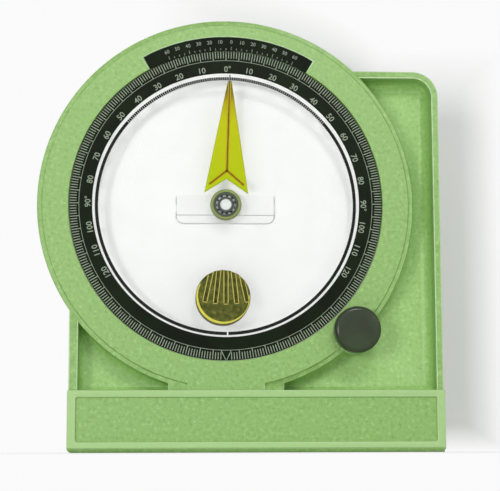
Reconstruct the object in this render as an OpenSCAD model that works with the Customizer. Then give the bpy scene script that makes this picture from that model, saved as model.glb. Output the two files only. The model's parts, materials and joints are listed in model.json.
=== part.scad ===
// Inclinometer: a cast housing with a geared degree ring and a weighted pendulum.
// Lengths are in millimetres. The front faces -Y and the base rests on Z = 0.
// The origin lies on the base's underside, below the dial axis, at mid-thickness.

/* [Base] */
// Length of the base
base_l = 149.6; // [149:0.1:160]
// Height of the base
base_h = 24.5; // [22:0.25:25]
// Thickness of the base from front to back
base_w = 32; // [31:0.5:36]
// Distance from the dial axis to the base's left end
base_left = 62.6; // [61:0.1:66]
// Width of the rim at the ends of the sunk panels
base_rim = 3.4; // [2:0.1:5]
// Width of the rim above the panels
base_top_rim = 2.8; // [2:0.1:4]
// Depth of the sunk panels
panel_depth = 1; // [0.5:0.1:2]
// Chamfer along the two long lower edges
base_chamfer = 2; // [0.5:0.1:3]
// Width of the flat strip between that chamfer and the panels
base_strip = 2.2; // [0.8:0.1:3]
// Corner radius of the base's lower ends
base_corner_r = 2; // [0.5:0.1:3]

/* [Housing] */
// Height of the dial axis above the underside
axis_h = 99.2; // [98:0.2:104]
// Distance that the drum's face and cover stand in from the base's faces
drum_inset = 1; // [0.5:0.1:1.2]
// Thickness of the drum's wall behind the inner ledge
drum_wall = 5.7; // [5:0.1:7]
// Width of the lower step round the drum's face
face_step_w = 1.9; // [1:0.1:3]
// Depth of that step
face_step_d = 0.8; // [0.4:0.1:1.5]
// Width of the pedestal under the face
face_foot_w = 30.8; // [26:0.2:40]
// Width of the pedestal under the drum
drum_foot_w = 46; // [44:0.2:56]
// Thickness of the web in the corners
web_t = 4; // [3:0.5:8]
// Thickness of the rims along the edges of the web
rim_t = 2.8; // [2.5:0.1:4.5]
// Distance that the rims stand in from the base's faces
rim_inset = 2; // [2:0.1:4]
// Height of the top rim above the dial axis
frame_rise = 55.2; // [50:0.2:60]
// Distance that the right rim stands in from the base's right end
frame_inset = 0.2; // [0.2:0.1:2]
// Outer radius of the frame's top corner
corner_r = 10.5; // [8:0.5:16]
// Distance that the left wall stands in from the base's left end
wall_inset = 0.3; // [0.2:0.1:2]
// Thickness of the left wall
left_wall_t = 3.6; // [2.5:0.1:4.5]
// Size of the coves where walls meet the web
cove_r = 3.5; // [1:0.1:4]

/* [Degree ring] */
// Outer radius of the degree ring
ring_r = 62.9; // [62:0.1:64]
// Width of the degree ring's visible face
ring_face_w = 9.2; // [8:0.1:10]
// Thickness of the degree ring in front of its gear
ring_t = 2.6; // [2.2:0.1:3]
// Width of the comb scale ring inside it
comb_ring_w = 2.3; // [2:0.1:3]
// Thickness of the comb scale ring
comb_ring_t = 1.2; // [0.8:0.1:1.5]
// Thickness of the window
window_t = 1.2; // [1:0.1:1.6]
// Width of the window's edge in its seat
window_lap = 1.8; // [1.4:0.1:2]
// Distance that the window stands in from the degree ring's face
window_inset = 0.6; // [0.5:0.1:0.9]
// Outer radius of the vernier plate
vernier_r = 68.7; // [67:0.1:69.2]
// Thickness of the vernier plate
vernier_t = 0.8; // [0.5:0.1:1]
// Angle from the vernier plate's middle to its ends, degrees
vernier_angle = 30; // [26:0.5:34]
// Angle of the vernier plate's middle from the top, degrees clockwise
vernier_tilt = 0.9; // [-3:0.1:3]

/* [Ring drive] */
// Gear module
gear_module = 0.8; // [0.8:0.1:1]
// Teeth on the pinion
pinion_teeth = 16; // [14:1:18]
// Thickness of the gears
gear_t = 3; // [2.5:0.1:3.5]
// Step from the degree ring's edge to the gear's pitch circle
gear_step = 3.5; // [3.2:0.1:4]
// Angle of the knob below the horizontal, degrees
knob_angle = 44.7; // [38:0.1:48]
// Radius of the knob
knob_r = 9.2; // [8.8:0.1:12]
// Length of the knob
knob_l = 7; // [6:0.5:14]
// Radius of the knob's rounded front edge
knob_edge = 1.6; // [0.5:0.1:2.5]
// Radius of the knob's shaft
knob_shaft_r = 2.5; // [2:0.1:2.6]

/* [Stack in the drum] */
// Thickness of the drum's front lip
lip_t = 2.6; // [2.2:0.1:3]
// Thickness of the retainer ring
retainer_t = 1.6; // [1.2:0.1:2.5]
// Thickness of the spacer ring
spacer_t = 5; // [4.8:0.1:7]
// Width of the ledge that the stack seats on
ledge_w = 2.2; // [1.5:0.1:3]
// Thickness of the dial plate
plate_t = 1.5; // [1:0.1:2.5]
// Thickness of the rear cover
cover_t = 2.5; // [2.2:0.1:3.5]
// Width of the rear cover's skirt
skirt_w = 3.3; // [2.5:0.1:4]
// Width of the raised rim round the rear cover's sunk middle
cover_rim_w = 12.4; // [11:0.1:14]
// Depth of that sunk middle
cover_sunk_d = 0.6; // [0.3:0.1:1]
// Number of screws in the rear cover
cover_screw_count = 6; // [4:1:8]

/* [Pivot and bearing] */
// Radius of the pivot shaft
shaft_r = 2; // [1.8:0.05:2.1]
// Outer radius of the bearing
bearing_r = 5; // [4.8:0.1:5.2]
// Length of the bearing
bearing_l = 4; // [3.5:0.1:4.2]
// Radius of a bearing ball
ball_r = 0.75; // [0.65:0.01:0.78]
// Number of balls
ball_count = 11; // [6:1:11]
// Width of the bridge
bridge_w = 40; // [36:0.5:44]
// Height of the bridge
bridge_h = 13; // [12:0.5:16]
// Distance of the bridge's top edge above the dial axis
bridge_rise = 5.1; // [4.5:0.1:7]
// Thickness of the bridge
bridge_t = 1.6; // [1:0.1:1.8]

/* [Screws] */
// Radius of a cover screw
cover_screw_r = 1.25; // [1:0.05:1.3]
// Length of a cover screw under its head
cover_screw_l = 6.7; // [5:0.1:9]
// Radius of a cover screw's head
cover_head_r = 2.2; // [2:0.1:2.3]
// Thickness of a cover screw's head
cover_head_t = 1.2; // [0.8:0.1:1.4]
// Width of the slot in a cover screw's head
cover_slot_w = 0.6; // [0.4:0.1:0.8]
// Depth of that slot
cover_slot_d = 0.6; // [0.4:0.1:0.7]
// Radius of a bridge screw
bridge_screw_r = 1; // [0.8:0.05:1.2]
// Distance of the bridge screws from the bridge's ends
bridge_screw_inset = 6; // [5:0.5:8]
// Radius of a bridge screw's head
bridge_head_r = 1.9; // [1.7:0.1:2.2]
// Thickness of a bridge screw's head
bridge_head_t = 1.2; // [0.9:0.1:1.5]
// Width of the slot in a bridge screw's head
bridge_slot_w = 0.5; // [0.4:0.1:0.7]
// Depth of that slot
bridge_slot_d = 0.5; // [0.3:0.1:0.6]
// Distance across the corners of the shaft's nut
nut_w = 8; // [7.5:0.1:9]
// Thickness of the shaft's nut
nut_t = 2.4; // [2:0.1:3]

/* [Pendulum] */
// Angle at which the pendulum hangs at rest, degrees clockwise
pendulum_tilt = 1.8; // [-5:0.1:5]
// Radius of the clear disc
disc_r = 50.6; // [49:0.1:50.8]
// Thickness of the clear disc
disc_t = 1.4; // [1:0.1:1.6]
// Outer radius of the hub
hub_r = 6.3; // [6.1:0.1:7]
// Distance from the axis to the pointer's tip
pointer_tip = 51; // [46:0.2:51]
// Distance from the axis to the line across the pointer's base
pointer_base = 4.7; // [3:0.1:6]
// Width of the pointer at its base
pointer_w = 17.8; // [14:0.1:20]
// Distance from the axis to the notch in the pointer's base
pointer_notch = 10.6; // [9:0.1:12]
// Thickness of the pointer
pointer_t = 1.2; // [0.8:0.1:1.3]
// Distance from the axis to the end of the hairline wire
wire_tip = 53.6; // [52.5:0.1:53.8]
// Radius of the counterweight
weight_r = 11; // [9:0.1:12]
// Distance of the counterweight below the axis
weight_drop = 37.6; // [34:0.2:38]
// Thickness of the counterweight
weight_t = 7.5; // [5:0.1:8]
// Number of radial slots in the counterweight
slot_count = 5; // [3:2:7]
// Angle between the slots, degrees
slot_pitch = 6.1; // [5:0.1:6.5]
// Width of a slot
slot_w = 1.4; // [0.8:0.1:1.8]
// Depth of a slot
slot_d = 1.2; // [0.5:0.1:2.5]
// Distance from the axis to the closed ends of the slots
slot_end = 40; // [37:0.2:42]

/* [Fits] */
// Running play of the degree ring in depth
play = 0.3; // [0.2:0.05:0.4]
// Radial clearance of the degree ring in the drum's front hole
ring_clear = 0.25; // [0.15:0.05:0.4]
// Clearance between pieces that are assembled by hand
slip = 0.1; // [0.05:0.01:0.15]
// Radial clearance of a close fit or a running shaft
fit = 0.03; // [0.02:0.01:0.06]
// Clearance round the gears
gear_clear = 0.76; // [0.4:0.02:1]
// Backlash of the gears, measured along the pitch circle
backlash = 0.14; // [0.1:0.01:0.2]

/* [Hidden] */
$fn = 128;
pressure_angle = 20;
sink = 0.5;          // how far joined lumps run into each other
past = 1;            // how far a cut runs past the piece that it cuts
edge = 0.3;          // chamfer on small edges
drum_w = base_w - 2 * drum_inset;
rim_w = base_w - 2 * rim_inset;
panel_corner_r = 0.8;
vernier_slack = 0.15; // degrees

// Radii about the dial axis, from the degree ring outwards
ring_inner_r = ring_r - ring_face_w;
window_r = ring_inner_r + window_lap;
seat_r = window_r + slip;
collar_inner_r = ring_inner_r + 0.5;
spigot_w = 1.2;
spigot_r = seat_r + spigot_w;
hole_r = ring_r + ring_clear;
ring_teeth = round(2 * (ring_r + gear_step) / gear_module);
ring_pitch_r = gear_module * ring_teeth / 2;
ring_addendum = 0.8 * gear_module;
gear_room_r = ring_pitch_r + ring_addendum + gear_clear;
stack_r = gear_room_r + ledge_w;
drum_r = stack_r + drum_wall;
face_r = drum_r - face_step_w;
retainer_lap = 0.6;
retainer_inner_r = spigot_r - retainer_lap;
spacer_lap = 1.5;
spacer_inner_r = gear_room_r - spacer_lap;

// Radii about the knob axis
pinion_pitch_r = gear_module * pinion_teeth / 2;
pinion_addendum = gear_module;
gear_distance = ring_pitch_r + pinion_pitch_r;
pinion_clear = 0.4;
pinion_room_r = pinion_pitch_r + pinion_addendum + pinion_clear;
column_wall = 1.6;
column_r = pinion_room_r + column_wall;
bush_wall = 2;
bush_r = knob_shaft_r + bush_wall;
rear_bush_r = bush_r - 0.5;
bush_flange_w = 2;
bush_flange_r = bush_r + bush_flange_w;
groove_d = 0.5;
clip_r = knob_shaft_r + 2;
relief_gap = 1;
relief_r = clip_r + relief_gap;
knob_x = gear_distance * cos(knob_angle);
knob_z = axis_h - gear_distance * sin(knob_angle);
knob_axis = [knob_x, knob_z];
dial_axis = [0, axis_h];
wire_w = 0.3;

// Depths, from the drum's face to the back
face_y = -drum_w / 2;
step_y = face_y + face_step_d;
lip_back_y = face_y + lip_t;
gear_y = lip_back_y + play;
gear_back_y = gear_y + gear_t;
ledge_y = gear_back_y + play;
retainer_back_y = ledge_y + retainer_t;
plate_y = retainer_back_y + spacer_t;
plate_back_y = plate_y + plate_t;
back_y = drum_w / 2;
cover_y = back_y - cover_t;
ring_y = gear_y - ring_t;
window_y = ring_y + window_inset;
window_back_y = window_y + window_t;
pointer_y = window_back_y + play;
comb_y = pointer_y + wire_w + play;
disc_y = pointer_y + pointer_t;
disc_back_y = disc_y + disc_t;
bearing_inset = 0.4;
bearing_y = pointer_y + bearing_inset;
bearing_back_y = bearing_y + bearing_l;
ball_y = bearing_y + bearing_l / 2;
bridge_y = plate_y - bridge_t;
bridge_step_y = bridge_y + 0.4;
bush_flange_t = 1;
bush_front_y = face_y - bush_flange_t;
washer_t = 0.3;
knob_back_y = bush_front_y - washer_t - slip;
knob_y = knob_back_y - knob_l;
knob_bore_y = knob_y + 3;
groove_y = gear_back_y + 0.15;
groove_w = 0.6;
clip_gap = 0.05;

// Edges of the frame
base_right = base_l - base_left;
frame_x = base_right - frame_inset;
frame_z = axis_h + frame_rise;
wall_x = base_left - wall_inset;
wall_bite = 2;       // how far the left wall runs up into the drum
wall_top_z = axis_h - sqrt(drum_r * drum_r - wall_x * wall_x) + wall_bite;

// Rear bush and the end of the knob's shaft
boss_y = cover_y - 3;
blind_floor = 1.2;
blind_y = back_y - blind_floor;
boss_r = pinion_room_r - 3 * slip;

// Rear cover and its screws
cover_step = 0.5;
cover_r = drum_r - cover_step;
cover_lobe_r = column_r - cover_step;
cover_edge = 2 * edge;
cover_screw_ring_r = stack_r + drum_wall / 2;
cover_head_y = back_y - cover_head_t - slip;
cover_screw_y = cover_head_y - cover_screw_l;
screw_end_gap = 1.5;

// Bridge screws and the pivot shaft
bridge_screw_x = bridge_w / 2 - bridge_screw_inset;
bridge_screw_y = bridge_y + 0.6;
bridge_strip_h = 3.8;
bridge_corner_r = 3;
collar_r = shaft_r + 0.8;
head_r = shaft_r + 0.4;
head_t = 0.3;
shaft_end_y = plate_back_y + nut_t + 0.5;

// Bearing
race_shift = 0.15;    // the balls run a little outside the middle
race_mid_r = (shaft_r + bearing_r) / 2 + race_shift;
race_gap = 0.8;
groove_r = ball_r + 0.08;
cage_w = race_gap - 0.2;
cage_l = 1.55;
cage_back_y = ball_y + 1.4;
pocket_gap = 0.05;

// Hub
hub_flange_w = 0.7;
hub_body_r = hub_r - hub_flange_w;
hub_lip_w = 0.5;
hub_lip_t = 0.4;
hub_back_y = bearing_back_y + hub_lip_t;
hub_clamp_w = 0.5;
hub_clamp_t = 0.8;

tip_w = 1.5;
wire_start = 46;

// ---- Helpers ----

// Turns children, drawn as [radius, depth], about an axis that runs along Y
module turned(axis = dial_axis)
    translate([axis[0], 0, axis[1]])
        rotate([-90, 0, 0])
            rotate_extrude()
                children();

// Extrudes children, drawn in X and Z, from depth y0 back to depth y1
module slab(y0, y1)
    translate([0, y1, 0])
        rotate([90, 0, 0])
            linear_extrude(y1 - y0)
                children();

// A round bar along Y from depth y0 to depth y1
module bar(axis, r, y0, y1)
    translate([axis[0], y0, axis[1]])
        rotate([-90, 0, 0])
            cylinder(r = r, h = y1 - y0);

// A flat ring about the dial axis
module ring(r_in, r_out, y0, y1)
    turned()
        translate([r_in, y0])
            square([r_out - r_in, y1 - y0]);

// A tube about the knob axis
module knob_tube(r_in, r_out, y0, y1)
    turned(knob_axis)
        translate([r_in, y0])
            square([r_out - r_in, y1 - y0]);

// A rectangle with four round corners, from its lower left corner
module round_rect(size, r) {
    translate([r, 0])
        square([size[0] - 2 * r, size[1]]);
    translate([0, r])
        square([size[0], size[1] - 2 * r]);
    for (x = [r, size[0] - r])
        for (z = [r, size[1] - r])
            translate([x, z])
                circle(r);
}

// A rectangle from the origin with its far corner rounded
module corner_plate(x, z, r) {
    square([x - r, z]);
    square([x, z - r]);
    translate([x - r, z - r])
        circle(r);
}

// A wedge of a flat ring round the top of the dial, half angles to each side
module arc_band(r_in, r_out, half, tilt)
    translate(dial_axis)
        rotate(-tilt)
            intersection() {
                difference() {
                    circle(r_out);
                    circle(r_in);
                }
                polygon([[0, 0],
                    2 * r_out * [-sin(half), cos(half)],
                    2 * r_out * [sin(half), cos(half)]]);
            }

// Section of a cove in the corner of two walls, sunk a little into both
function cove_section(r) = concat(
    [[-sink, -sink], [r, -sink]],
    [for (i = [0:3]) r * [1 - sin(30 * i), 1 - cos(30 * i)]],
    [[-sink, r]]);

// A straight cove along Z in the corner of +X and +Y
module cove_bar(len)
    linear_extrude(len)
        polygon(cove_section(cove_r));

// Half the angle of a gear tooth at radius r, on an involute flank
function involute(a) = tan(a) * 180 / PI - a;
function tooth_half(r, teeth) =
    let (pitch_r = gear_module * teeth / 2)
    let (base_r = pitch_r * cos(pressure_angle))
    let (slack = backlash / 4 / pitch_r * 180 / PI)
    90 / teeth - slack + involute(pressure_angle) - involute(acos(min(1, base_r / r)));

// Outline of a gear with one tooth on +X
function gear_outline(teeth, addendum, steps) =
    let (pitch_r = gear_module * teeth / 2)
    let (root_r = pitch_r - 1.25 * gear_module)
    let (tip_r = pitch_r + addendum)
    let (radii = [for (i = [0:steps]) root_r + (tip_r - root_r) * i / steps])
    [for (t = [0:teeth - 1])
        for (side = [-1, 1])
            for (i = [0:steps])
                let (r = radii[side < 0 ? i : steps - i])
                let (a = 360 * t / teeth + side * tooth_half(r, teeth))
                r * [cos(a), sin(a)]];

// Leaves room round the knob's shaft in the pieces of the stack
module shaft_relief()
    bar(knob_axis, relief_r, ledge_y - past, cover_y + past);

// Places children in the pendulum's own frame, which hangs from the dial axis
module hung()
    translate([0, 0, axis_h])
        rotate([0, pendulum_tilt, 0])
            translate([0, 0, -axis_h])
                children();

// Spaces children evenly round the dial axis for the cover screws
module cover_screw_places()
    for (i = [0:cover_screw_count - 1])
        translate([0, 0, axis_h])
            rotate([0, knob_angle + (i + 0.5) * 360 / cover_screw_count, 0])
                translate([cover_screw_ring_r, 0, 0])
                    children();

// ---- Housing ----

module base_block()
    intersection() {
        rotate([90, 0, 90])
            translate([0, 0, -base_left])
                linear_extrude(base_l)
                    polygon([
                        [-base_w / 2 + base_chamfer, 0],
                        [base_w / 2 - base_chamfer, 0],
                        [base_w / 2, base_chamfer],
                        [base_w / 2, base_h],
                        [-base_w / 2, base_h],
                        [-base_w / 2, base_chamfer]]);
        slab(-base_w, base_w)
            translate([-base_left, 0])
                round_rect([base_l, base_h + base_corner_r], base_corner_r);
    }

module panel_recess()
    slab(base_w / 2 - panel_depth, base_w / 2 + past)
        translate([base_rim - base_left, base_chamfer + base_strip])
            round_rect([base_l - 2 * base_rim, base_h - base_top_rim - base_chamfer - base_strip],
                panel_corner_r);

module web_outline() {
    corner_plate(frame_x, frame_z, corner_r);
    translate([-wall_x, 0])
        square([wall_x, wall_top_z]);
}

module rims() {
    slab(-rim_w / 2, rim_w / 2)
        difference() {
            corner_plate(frame_x, frame_z, corner_r);
            corner_plate(frame_x - rim_t, frame_z - rim_t, corner_r - rim_t);
        }
    translate([-wall_x, -rim_w / 2, base_h - sink])
        cube([left_wall_t, rim_w, wall_top_z - base_h + sink]);
}

// Coves where the web meets the rims, the base and the drum, on one side
module coves() {
    translate([frame_x - rim_t, web_t / 2, base_h])
        mirror([1, 0, 0])
            cove_bar(frame_rise + axis_h - base_h - rim_t);
    translate([left_wall_t - wall_x, web_t / 2, base_h])
        cove_bar(wall_top_z - base_h - wall_bite);
    translate([0, web_t / 2, frame_z - rim_t])
        rotate([0, 90, 0])
            cove_bar(frame_x - rim_t);
    translate([frame_x - rim_t, web_t / 2, base_h])
        rotate([0, -90, 0])
            cove_bar(frame_x - rim_t + wall_x - left_wall_t);
    intersection() {
        turned()
            translate([drum_r, web_t / 2])
                polygon(cove_section(cove_r));
        slab(0, rim_w / 2)
            web_outline();
    }
}

module drum_solid() {
    turned()
        polygon([[0, face_y], [face_r - edge, face_y], [face_r, face_y + edge], [face_r, step_y],
            [drum_r - edge, step_y], [drum_r, step_y + edge], [drum_r, cover_y], [0, cover_y]]);
    slab(step_y, cover_y)
        translate([-drum_foot_w / 2, base_h - sink])
            square([drum_foot_w, axis_h - base_h]);
    slab(face_y, 0)
        translate([-face_foot_w / 2, base_h - sink])
            square([face_foot_w, axis_h - base_h]);
    bar(knob_axis, column_r, face_y, cover_y);
}

// Everything that is taken out of the drum
module drum_cavity() {
    turned()
        polygon([[0, face_y - past], [hole_r + edge + past, face_y - past],
            [hole_r, face_y + edge], [hole_r, lip_back_y], [gear_room_r, lip_back_y],
            [gear_room_r, ledge_y], [stack_r, ledge_y], [stack_r, cover_y + past],
            [0, cover_y + past]]);
    bar(knob_axis, pinion_room_r, lip_back_y, cover_y + past);
    bar(knob_axis, bush_r + fit, face_y - past, lip_back_y + past);
    slab(face_y - past, face_y + vernier_t)
        arc_band(ring_r, vernier_r + slip, vernier_angle + vernier_slack, vernier_tilt);
    cover_screw_places()
        rotate([-90, 0, 0])
            translate([0, 0, cover_screw_y - screw_end_gap])
                cylinder(r = cover_screw_r + fit, h = cover_screw_l + screw_end_gap);
    cover_room();
}

// Clears the rear cover's seat of the base, the left wall and the top rim
module cover_room() {
    bar(dial_axis, cover_r + slip, cover_y, base_w);
    bar(knob_axis, cover_lobe_r + slip, cover_y, base_w);
}

module body()
    color("#97c573")
        difference() {
            union() {
                base_block();
                slab(-web_t / 2, web_t / 2)
                    web_outline();
                rims();
                coves();
                mirror([0, 1, 0])
                    coves();
                drum_solid();
            }
            drum_cavity();
            panel_recess();
            mirror([0, 1, 0])
                panel_recess();
        }

module vernier_plate()
    color("#23251f")
        slab(face_y, face_y + vernier_t)
            arc_band(hole_r, vernier_r, vernier_angle, vernier_tilt);

// ---- Degree ring and its drive ----

module dial_ring()
    color("#1c1e1a")
        turned()
            polygon([[ring_inner_r, ring_y], [ring_r - edge, ring_y], [ring_r, ring_y + edge],
                [ring_r, gear_y], [spigot_r, gear_y], [spigot_r, gear_back_y],
                [seat_r, gear_back_y], [seat_r, window_y], [ring_inner_r, window_y]]);

// Flat comb scale with a collar that holds the window in its seat
module comb_scale_ring()
    color("#f2f2ee")
        turned()
            polygon([[ring_inner_r - comb_ring_w, comb_y], [collar_inner_r, comb_y],
                [collar_inner_r, window_back_y], [window_r, window_back_y],
                [window_r, gear_back_y], [collar_inner_r, gear_back_y],
                [collar_inner_r, comb_y + comb_ring_t],
                [ring_inner_r - comb_ring_w, comb_y + comb_ring_t]]);

module window()
    color("#dfe8e6", 0.3)
        bar(dial_axis, window_r, window_y, window_back_y);

// The gear is turned so that a tooth points at the knob
module ring_gear()
    color("#c8c9c4")
        difference() {
            slab(gear_y, gear_back_y)
                translate(dial_axis)
                    rotate(-knob_angle)
                        polygon(gear_outline(ring_teeth, ring_addendum, 2));
            bar(dial_axis, spigot_r + fit, gear_y - past, gear_back_y + past);
        }

// The pinion is turned so that a gap faces the ring gear's tooth
module pinion()
    color("#b89b52")
        difference() {
            slab(gear_y, gear_back_y)
                translate(knob_axis)
                    rotate(180 - knob_angle + 180 / pinion_teeth)
                        polygon(gear_outline(pinion_teeth, pinion_addendum, 4));
            bar(knob_axis, knob_shaft_r + fit, gear_y - past, gear_back_y + past);
        }

module knob()
    color("#3c4230")
        turned(knob_axis)
            difference() {
                union() {
                    translate([0, knob_y])
                        square([knob_r - knob_edge, knob_l]);
                    translate([0, knob_y + knob_edge])
                        square([knob_r, knob_l - knob_edge]);
                    translate([knob_r - knob_edge, knob_y + knob_edge])
                        circle(knob_edge);
                }
                translate([-past, knob_bore_y])
                    square([knob_shaft_r + fit + past, knob_l]);
            }

module knob_shaft()
    color("#b9bcc0")
        difference() {
            bar(knob_axis, knob_shaft_r, knob_bore_y + 2 * slip, blind_y - 3 * slip);
            knob_tube(knob_shaft_r - groove_d, knob_shaft_r + past, groove_y, groove_y + groove_w);
        }

// An open ring that snaps into the shaft's groove behind the pinion
module shaft_clip()
    color("#8f9398")
        slab(groove_y + clip_gap, groove_y + groove_w - clip_gap)
            translate(knob_axis)
                rotate(90 - knob_angle)
                    difference() {
                        circle(clip_r);
                        circle(knob_shaft_r - groove_d + fit);
                        translate([-knob_shaft_r * 0.6, -clip_r - past])
                            square([knob_shaft_r * 1.2, clip_r + past]);
                    }

module front_bush()
    color("#b48d3e")
        turned(knob_axis)
            polygon([[knob_shaft_r + fit, bush_front_y], [bush_flange_r, bush_front_y],
                [bush_flange_r, face_y], [bush_r, face_y], [bush_r, lip_back_y],
                [knob_shaft_r + fit, lip_back_y]]);

module rear_bush()
    color("#b48d3e")
        knob_tube(knob_shaft_r + fit, rear_bush_r, boss_y, blind_y - slip);

module spring_washer()
    color("#a9adb2")
        knob_tube(knob_shaft_r + 2 * slip, bush_flange_r - sink, bush_front_y - washer_t,
            bush_front_y);

// ---- Stack in the drum ----

module retainer_ring()
    color("#b7bab6")
        difference() {
            ring(retainer_inner_r, stack_r - slip, ledge_y, retainer_back_y);
            shaft_relief();
        }

module spacer_ring()
    color("#d9d9d4")
        difference() {
            ring(spacer_inner_r, stack_r - slip, retainer_back_y, plate_y);
            shaft_relief();
        }

module dial_plate()
    color("#fbfbf8")
        difference() {
            bar(dial_axis, stack_r - slip, plate_y, plate_back_y);
            shaft_relief();
            bar(dial_axis, shaft_r + fit, plate_y - past, plate_back_y + past);
            for (x = [-bridge_screw_x, bridge_screw_x])
                bar([x, axis_h], bridge_screw_r + fit, plate_y - past, plate_back_y + past);
        }

// A raised block with two round upper corners and a lower strip along its foot
module bridge()
    color("#f7f8f6")
        difference() {
            slab(bridge_y, plate_y)
                translate([-bridge_w / 2, axis_h + bridge_rise - bridge_h])
                    difference() {
                        round_rect([bridge_w, bridge_h + bridge_corner_r], bridge_corner_r);
                        translate([-past, bridge_h])
                            square([bridge_w + 2 * past, bridge_corner_r + past]);
                    }
            slab(bridge_y - past, bridge_step_y)
                translate([-bridge_w / 2 - past, axis_h + bridge_rise - bridge_h - past])
                    square([bridge_w + 2 * past, bridge_strip_h + past]);
            bar(dial_axis, shaft_r + fit, bridge_y - past, plate_y + past);
            for (x = [-bridge_screw_x, bridge_screw_x])
                bar([x, axis_h], bridge_screw_r + fit, bridge_screw_y - slip, plate_y + past);
        }

module bridge_screws()
    color("#c2c5c9")
        for (x = [-bridge_screw_x, bridge_screw_x])
            difference() {
                union() {
                    bar([x, axis_h], bridge_screw_r, bridge_screw_y, plate_back_y + sink);
                    bar([x, axis_h], bridge_head_r, plate_back_y, plate_back_y + bridge_head_t);
                }
                translate([x - bridge_head_r - past,
                    plate_back_y + bridge_head_t - bridge_slot_d, axis_h - bridge_slot_w / 2])
                    cube([2 * (bridge_head_r + past), past, bridge_slot_w]);
            }

// Fixed shaft with a head in front of the bearing and a collar behind it
module pivot_shaft()
    color("#e6e8ea")
        turned()
            polygon([[0, bearing_y - head_t], [head_r - 2 * slip, bearing_y - head_t],
                [head_r, bearing_y - head_t + 2 * slip], [head_r, bearing_y],
                [shaft_r - fit, bearing_y], [shaft_r - fit, bearing_back_y],
                [collar_r, bearing_back_y], [collar_r, bridge_y], [shaft_r - fit, bridge_y],
                [shaft_r - fit, shaft_end_y], [0, shaft_end_y]]);

module shaft_nut()
    color("#c2c5c9")
        difference() {
            translate([0, plate_back_y, axis_h])
                rotate([-90, 0, 0])
                    cylinder(r = nut_w / 2, h = nut_t, $fn = 6);
            bar(dial_axis, shaft_r + fit, plate_back_y - past, plate_back_y + nut_t + past);
        }

// ---- Bearing ----

module race_section(r_in, r_out)
    difference() {
        translate([r_in, bearing_y])
            square([r_out - r_in, bearing_l]);
        translate([race_mid_r, ball_y])
            circle(groove_r);
    }

module bearing_inner_race()
    color("#d4d7da")
        turned()
            race_section(shaft_r, race_mid_r - race_gap / 2);

module bearing_outer_race()
    color("#d4d7da")
        turned()
            race_section(race_mid_r + race_gap / 2, bearing_r);

module ball_places()
    for (i = [0:ball_count - 1])
        translate([0, ball_y, axis_h])
            rotate([0, i * 360 / ball_count, 0])
                translate([race_mid_r, 0, 0])
                    children();

module bearing_balls()
    color("#f0f2f4")
        ball_places()
            sphere(ball_r, $fn = 32);

// A crown ring whose pockets open towards the front
module bearing_cage()
    color("#a98c46")
        difference() {
            ring(race_mid_r - cage_w / 2, race_mid_r + cage_w / 2, cage_back_y - cage_l, cage_back_y);
            ball_places()
                rotate([0, 90, 0])
                    cylinder(r = ball_r + pocket_gap, h = 2 * race_gap, center = true);
        }

// ---- Pendulum ----

module pendulum_hub()
    color("#8b9636")
        turned()
            polygon([[bearing_r + fit, pointer_y], [hub_r - edge, pointer_y],
                [hub_r, pointer_y + edge], [hub_r, disc_y], [hub_body_r, disc_y],
                [hub_body_r, hub_back_y], [bearing_r - hub_lip_w, hub_back_y],
                [bearing_r - hub_lip_w, bearing_back_y], [bearing_r + fit, bearing_back_y]]);

module hub_clamp_ring()
    color("#8b9636")
        ring(hub_body_r + fit, hub_body_r + hub_clamp_w, disc_back_y, disc_back_y + hub_clamp_t);

module pendulum_disc()
    color("#eef3f0", 0.3)
        hung()
            difference() {
                bar(dial_axis, disc_r, disc_y, disc_back_y);
                bar(dial_axis, hub_body_r + fit, disc_y - past, disc_back_y + past);
                bar([0, axis_h - weight_drop], weight_r + fit, disc_y - past, disc_back_y + past);
            }

module pointer()
    color("#b5c90c")
        hung()
            difference() {
                slab(pointer_y, disc_y)
                    translate(dial_axis)
                        polygon([[-tip_w / 2, pointer_tip], [tip_w / 2, pointer_tip],
                            [pointer_w / 2, pointer_base], [0, pointer_notch],
                            [-pointer_w / 2, pointer_base]]);
                translate([-wire_w / 2 - fit, pointer_y - past, axis_h + wire_start - fit])
                    cube([wire_w + 2 * fit, past + wire_w + fit, disc_r]);
            }

// Lies in a groove in the pointer's tip and stands out over the comb scale
module hairline_wire()
    color("#1a1a18")
        hung()
            translate([-wire_w / 2, pointer_y, axis_h + wire_start])
                cube([wire_w, wire_w, wire_tip - wire_start]);

// A turned slug with radial slots that fan out from the pendulum's axis
module counterweight()
    color("#9a8a2c")
        hung()
            difference() {
                turned([0, axis_h - weight_drop])
                    polygon([[0, pointer_y], [weight_r - edge, pointer_y],
                        [weight_r, pointer_y + edge], [weight_r, pointer_y + weight_t],
                        [0, pointer_y + weight_t]]);
                slab(pointer_y - past, pointer_y + slot_d)
                    translate(dial_axis)
                        for (i = [0:slot_count - 1])
                            rotate(slot_pitch * (i - (slot_count - 1) / 2) + pendulum_tilt) {
                                translate([-slot_w / 2, -slot_end])
                                    square([slot_w, slot_end]);
                                translate([0, -slot_end])
                                    circle(slot_w / 2);
                            }
            }

// ---- Rear cover ----

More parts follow.
